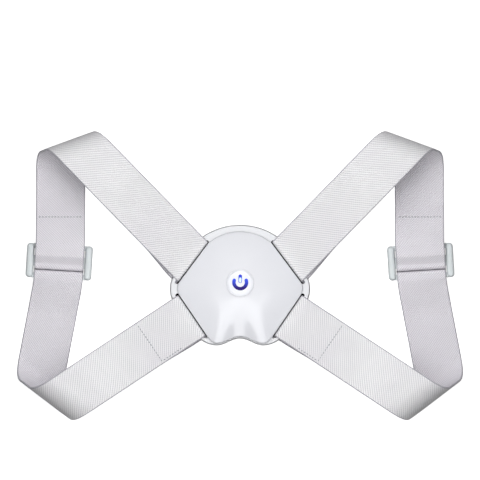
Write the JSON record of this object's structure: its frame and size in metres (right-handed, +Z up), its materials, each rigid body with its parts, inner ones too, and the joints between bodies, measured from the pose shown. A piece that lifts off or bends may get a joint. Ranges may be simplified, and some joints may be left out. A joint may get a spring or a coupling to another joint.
{
  "type": "posture corrector",
  "caption": "Posture corrector with a plastic sensor pod for the upper back, a power button, and an elastic webbing loop with a slider on each side.",
  "frame": {"origin": "middle of the pod's flat back face, which lies on the table", "axes": "+Z up from the table, out of the pod's front; +Y to the wearer's head; +X across the back"},
  "size_m": [0.2724, 0.1761, 0.0453],
  "materials": {
    "pod_base": "satin white plastic",
    "pod_cover": "glossy white plastic",
    "button": "glossy clear white plastic",
    "webbing": "woven elastic",
    "slider": "satin moulded plastic"
  },
  "bodies": {
    "corrector": {"pod_base": "pod_base", "pod_cover": "pod_cover", "shoulder_strap_right": "webbing", "underarm_strap_right": "webbing", "slider_right": "slider", "shoulder_strap_left": "webbing", "underarm_strap_left": "webbing", "slider_left": "slider"},
    "button": {"power_button": "button"}
  },
  "joints": [
    {"name": "power_press", "type": "slide", "parent": "corrector", "child": "button", "axis": [0, 0, -1], "range_m": [0, 0.0008], "stiffness_N_per_m": 1500}
  ]
}
